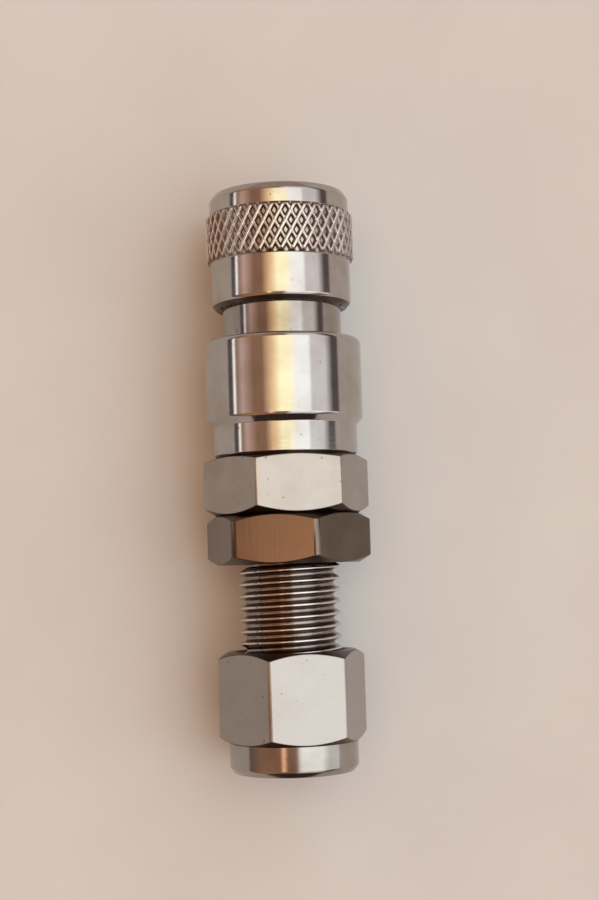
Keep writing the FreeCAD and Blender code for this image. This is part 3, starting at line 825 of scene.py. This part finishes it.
jam_nut_bottom, jam_nut_top = stations("jam_nut")
jam_nut = hexagon_piece(
    "bulkhead_jam_nut", jam_nut_flats, jam_nut_turn, jam_nut_corner,
    [(nut_bore + nut_countersink, jam_nut_bottom, 0.06)],
    (jam_nut_bottom, jam_nut_top),
    [
        (nut_bore + nut_countersink, jam_nut_top, 0.06),
        (nut_bore, jam_nut_top - nut_countersink, 0.08),
        (nut_bore, jam_nut_bottom + nut_countersink, 0.08),
    ],
    [bar_steel("browned_bar_steel", "#6E645C", "#635850", 0.11, 0.16), end_steel])
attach(jam_nut, "jam_nut")
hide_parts("jam_nut")


# Ferrules: two turned stainless rings behind the stud. The front one wedges into the stud's cone, the
# back one reaches under it, and together they grip the tube.
front_nose_radius = 3.497
front_rim_radius = 4.724
front_rim = 0.50
ferrule_hook = 0.80
back_rim = 0.30
back_radius = 4.35
back_hook = 0.75

front_back, front_nose = stations("front_ferrule")
back_bottom, back_nose = stations("back_ferrule")
ferrule_steel = machined_steel("turned_ferrule_steel", "#C4C1BC", "#B2ABA3", 0.20, 0.13, 0.22)
front = turned("front_ferrule_ring", [
    (tube_radius, front_back + ferrule_hook, 0.05),
    (tube_radius + ferrule_hook, front_back, 0.05),
    (front_rim_radius, front_back, 0.08),
    (front_rim_radius, front_back + front_rim, 0.08),
    (front_nose_radius, front_nose, 0.05),
    (tube_radius, front_nose, 0.05),
], [ferrule_steel])
back = turned("back_ferrule_ring", [
    (tube_radius, back_bottom, 0.06),
    (back_radius - back_rim, back_bottom, 0.06),
    (back_radius, back_bottom + back_rim, 0.06),
    (back_radius, back_nose - back_hook, 0.06),
    (tube_radius + back_hook, back_nose - back_hook, 0.05),
    (tube_radius, back_nose, 0.03),
], [ferrule_steel])
for ferrule, node in ((front, "front_ferrule"), (back, "back_ferrule")):
    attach(ferrule, "ferrules")
    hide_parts(node)


# Tube nut: stainless hexagon bar with a round collar at its end, screwed on the stud over the ferrules.
# Its flats are satin and its turned collar stays bare.
tube_nut_flats = 14.2875
tube_nut_turn = math.radians(13.5)
tube_nut_corner = 0.45
collar_length = 3.20
end_collar_radius = 6.975
collar_bevel = 0.60
collar_bevel_depth = 0.45
end_wall = 3.25
tube_chamfer = 0.30

tube_nut_bottom, tube_nut_top = stations("tube_nut")
nut_floor = tube_nut_bottom + end_wall
tube_nut = hexagon_piece(
    "compression_tube_nut", tube_nut_flats, tube_nut_turn, tube_nut_corner,
    [
        (tube_radius + tube_chamfer, tube_nut_bottom, 0.06),
        (end_collar_radius - collar_bevel_depth, tube_nut_bottom, 0.08),
        (end_collar_radius, tube_nut_bottom + collar_bevel, 0.50),
        (end_collar_radius, tube_nut_bottom + collar_length, 0.06),
    ],
    (tube_nut_bottom + collar_length, tube_nut_top),
    [
        (nut_bore + nut_countersink, tube_nut_top, 0.06),
        (nut_bore, tube_nut_top - nut_countersink, 0.08),
        (nut_bore, nut_floor, 0.08),
        (tube_radius, nut_floor, 0.08),
        (tube_radius, tube_nut_bottom + tube_chamfer, 0.05),
    ],
    [
        bar_steel("drawn_satin_nut_steel", "#A7A39E", "#A09B95", 0.26, 0.32),
        end_steel,
        machined_steel("turned_collar_steel", "#A6A39E", "#98938C", 0.30, 0.10, 0.16),
    ])
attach(tube_nut, "tube_nut")
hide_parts("tube_nut")


# Floor: a plain pale sheet of paper that the coupling lies on, dull and faintly mottled. It belongs to the
# stage and not to the object.
floor_reach = 1.5
floor_corners = [(floor_reach * x, floor_reach * y, 0) for x, y in ((-1, -1), (1, -1), (1, 1), (-1, 1))]
floor_mesh = bpy.data.meshes.new("pale_floor")
floor_mesh.from_pydata(floor_corners, [], [(0, 1, 2, 3)])
floor = bpy.data.objects.new("pale_floor", floor_mesh)
bpy.context.collection.objects.link(floor)
paper = new_material("pale_paper")
paper_place = add(paper, "ShaderNodeTexCoord").outputs["Object"]
mottle = add(paper, "ShaderNodeTexNoise", {"Vector": paper_place, "Scale": 45.0, "Detail": 5.0})
paper_colour = add(paper, "ShaderNodeValToRGB", {"Fac": mottle}, stops=[(0.3, "#D5D5D4"), (0.7, "#DBDCDB")])
floor_mesh.materials.append(shade(paper, {"Base Color": paper_colour, "Roughness": 0.6}))


# Light: a soft studio dome that polished steel mirrors. Over the socket end it has a strip light, a brown
# wall, a cream lamp and a white window, over the tube end a wall, a warm lamp and the window. Towards the
# ends it is plainer, with a dim wall beyond the socket and a dark one beyond the tube end.
dark_corner = "#403838"
brown_wall = "#6C5040"
pale_wall = "#988078"
amber_wall = "#805838"
warm_edge = "#C8A880"
warm_lamp = "#F0B890"
cream_lamp = "#E0D8B4"
white_window = "#D0D0D0"
grey_wall = "#A8A4A4"
socket_wall = "#706058"
tube_wall = "#241C18"
horizon = "#7C7470"
dome_strength = 3.2
world = bpy.data.worlds.new("studio_dome")
bpy.context.scene.world = world
world.use_nodes = True
world.node_tree.nodes.clear()
direction = add(world, "ShaderNodeTexCoord").outputs["Generated"]
parts = add(world, "ShaderNodeSeparateXYZ", {"Vector": direction}).outputs
across = add(world, "ShaderNodeMath", {0: parts["X"], 1: parts["Z"]}, operation="ARCTAN2")
share = add(world, "ShaderNodeMapRange", {"Value": across, "From Min": -math.pi / 2, "From Max": math.pi / 2})
lengthways = add(world, "ShaderNodeMath", {0: parts["Y"]}, operation="ABSOLUTE")


def dome_arc(*tones):
    """Tones of the dome across the coupling, each at an angle in degrees from straight overhead, with the
    left side negative."""
    stops = [((angle + 90) / 180, tone) for angle, tone in tones]
    return add(world, "ShaderNodeValToRGB", {"Fac": share}, stops=stops)


by_tube_end = dome_arc(
    (-90, dark_corner), (-60, brown_wall), (-24, brown_wall), (-19, warm_lamp), (-12, brown_wall),
    (4, brown_wall), (12, white_window), (52, white_window), (66, grey_wall))
by_socket = dome_arc(
    (-79, dark_corner), (-77, white_window), (-75, white_window), (-72, brown_wall), (-62, pale_wall),
    (-44, brown_wall), (-30, brown_wall), (-14, warm_edge), (-4, cream_lamp), (10, cream_lamp),
    (20, white_window), (38, white_window), (42, grey_wall), (64, grey_wall), (76, dark_corner))
beside = dome_arc(
    (-90, dark_corner), (-62, amber_wall), (-20, brown_wall), (2, brown_wall), (12, grey_wall),
    (54, grey_wall), (72, dark_corner))
dome = by_tube_end
for place, start, end, tone in (
    (parts["Y"], 0.02, 0.08, by_socket),
    (lengthways, 0.27, 0.40, beside),
    (parts["Y"], 0.70, 0.90, linear(socket_wall)),
    (parts["Z"], 0.07, 0.03, linear(horizon)),
    (parts["Y"], -0.75, -0.90, linear(tube_wall)),
):
    share_of_tone = add(world, "ShaderNodeMapRange", {"Value": place, "From Min": start, "From Max": end})
    dome = add(world, "ShaderNodeMix", {"Factor": share_of_tone, "A": dome, "B": tone}, data_type="RGBA")
background = add(world, "ShaderNodeBackground", {"Color": dome, "Strength": dome_strength})
add(world, "ShaderNodeOutputWorld", {"Surface": background})


# Camera: above the coupling, close to the jam nut, leaning a little towards the socket. Its distances are
# millimetres from the axis and the panel seat, and its lens is as long as the photo's perspective asks.
image_height = 900
focal_pixels = 1561
film_height = 24.0
camera_aside = 1.14
camera_behind = 5.75
camera_above = 171
camera_lean = math.radians(4.286)
camera_twist = math.radians(-1.73)
camera_data = bpy.data.cameras.new("camera")
camera = bpy.data.objects.new("camera", camera_data)
bpy.context.collection.objects.link(camera)
camera_data.sensor_fit = "VERTICAL"
camera_data.sensor_height = film_height
camera_data.lens = focal_pixels / image_height * film_height
camera_data.clip_start = 0.01
camera.location = np.array([camera_aside, panel_seat - camera_behind, axis_height + camera_above]) / 1000
camera.rotation_euler = (camera_lean, 0, camera_twist)
bpy.context.scene.camera = camera
bpy.context.scene.view_settings.view_transform = "Standard"
